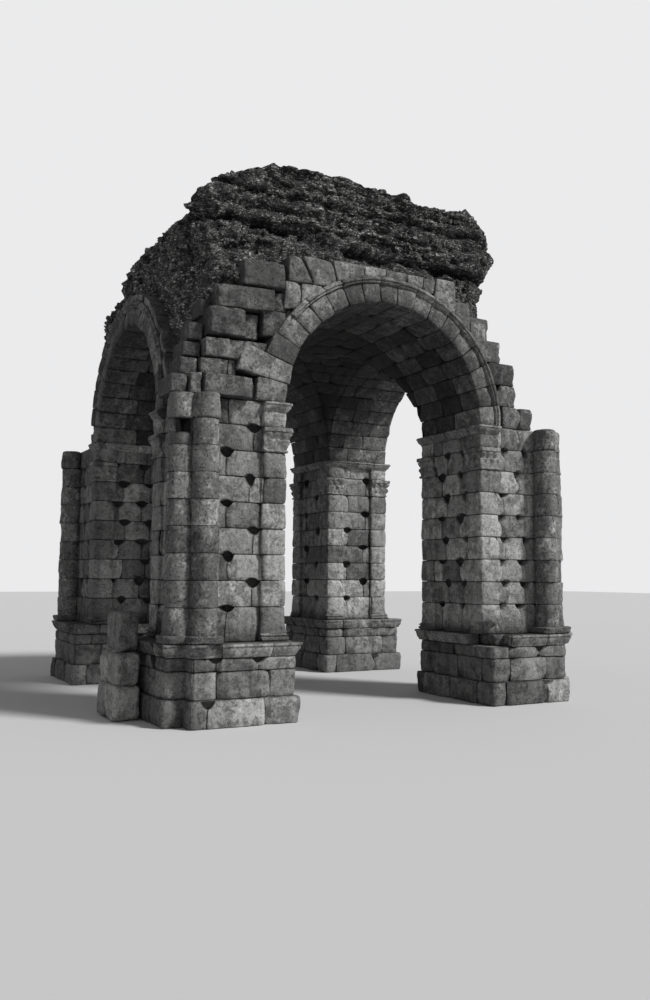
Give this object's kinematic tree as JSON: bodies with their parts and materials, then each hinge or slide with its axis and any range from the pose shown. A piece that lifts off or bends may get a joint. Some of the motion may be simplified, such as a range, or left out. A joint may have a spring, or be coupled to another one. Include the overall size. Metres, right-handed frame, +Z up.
{
  "type": "ruined four-way triumphal arch",
  "caption": "Ruined four-way stone arch: four piers on moulded plinths, round arches, a groin vault and a bare rubble core on top.",
  "frame": {"origin": "on the ground, at the centre of the four piers", "axes": "+Z up, -Y towards the front facade, +X to the right seen from the front"},
  "size_m": [9.82, 9.46, 10.535],
  "materials": {
    "squared_stone": "rough",
    "moulded_stone": "rough",
    "arch_stone": "rough",
    "rubble_core": "rough"
  },
  "bodies": {
    "root": {"core_lower": "rubble_core", "core_upper": "rubble_core", "corner_columns_front_left": "squared_stone", "corner_columns_front_right": "squared_stone", "corner_columns_rear_left": "squared_stone", "corner_columns_rear_right": "squared_stone", "front_arch": "arch_stone", "haunch_front_left": "squared_stone", "haunch_front_right": "squared_stone", "haunch_rear_left": "squared_stone", "haunch_rear_right": "squared_stone", "impost_front_left": "moulded_stone", "impost_front_right": "moulded_stone", "impost_rear_left": "moulded_stone", "impost_rear_right": "moulded_stone", "left_arch": "arch_stone", "pedestal_stub_front_left": "squared_stone", "pedestal_stub_front_right": "squared_stone", "pier_front_left": "squared_stone", "pier_front_right": "squared_stone", "pier_rear_left": "squared_stone", "pier_rear_right": "squared_stone", "pilaster_bases_front_left": "moulded_stone", "pilaster_bases_front_right": "moulded_stone", "pilaster_bases_rear_left": "moulded_stone", "pilaster_bases_rear_right": "moulded_stone", "pilaster_capitals_front_left": "moulded_stone", "pilaster_capitals_front_right": "moulded_stone", "pilaster_capitals_rear_left": "moulded_stone", "pilaster_capitals_rear_right": "moulded_stone", "plinth_cap_front_left": "moulded_stone", "plinth_cap_front_right": "moulded_stone", "plinth_cap_rear_left": "moulded_stone", "plinth_cap_rear_right": "moulded_stone", "plinth_front_left": "squared_stone", "plinth_front_right": "squared_stone", "plinth_rear_left": "squared_stone", "plinth_rear_right": "squared_stone", "rear_arch": "arch_stone", "right_arch": "arch_stone", "vault_web_front": "arch_stone", "vault_web_left": "arch_stone", "vault_web_rear": "arch_stone", "vault_web_right": "arch_stone"}
  },
  "joints": []
}
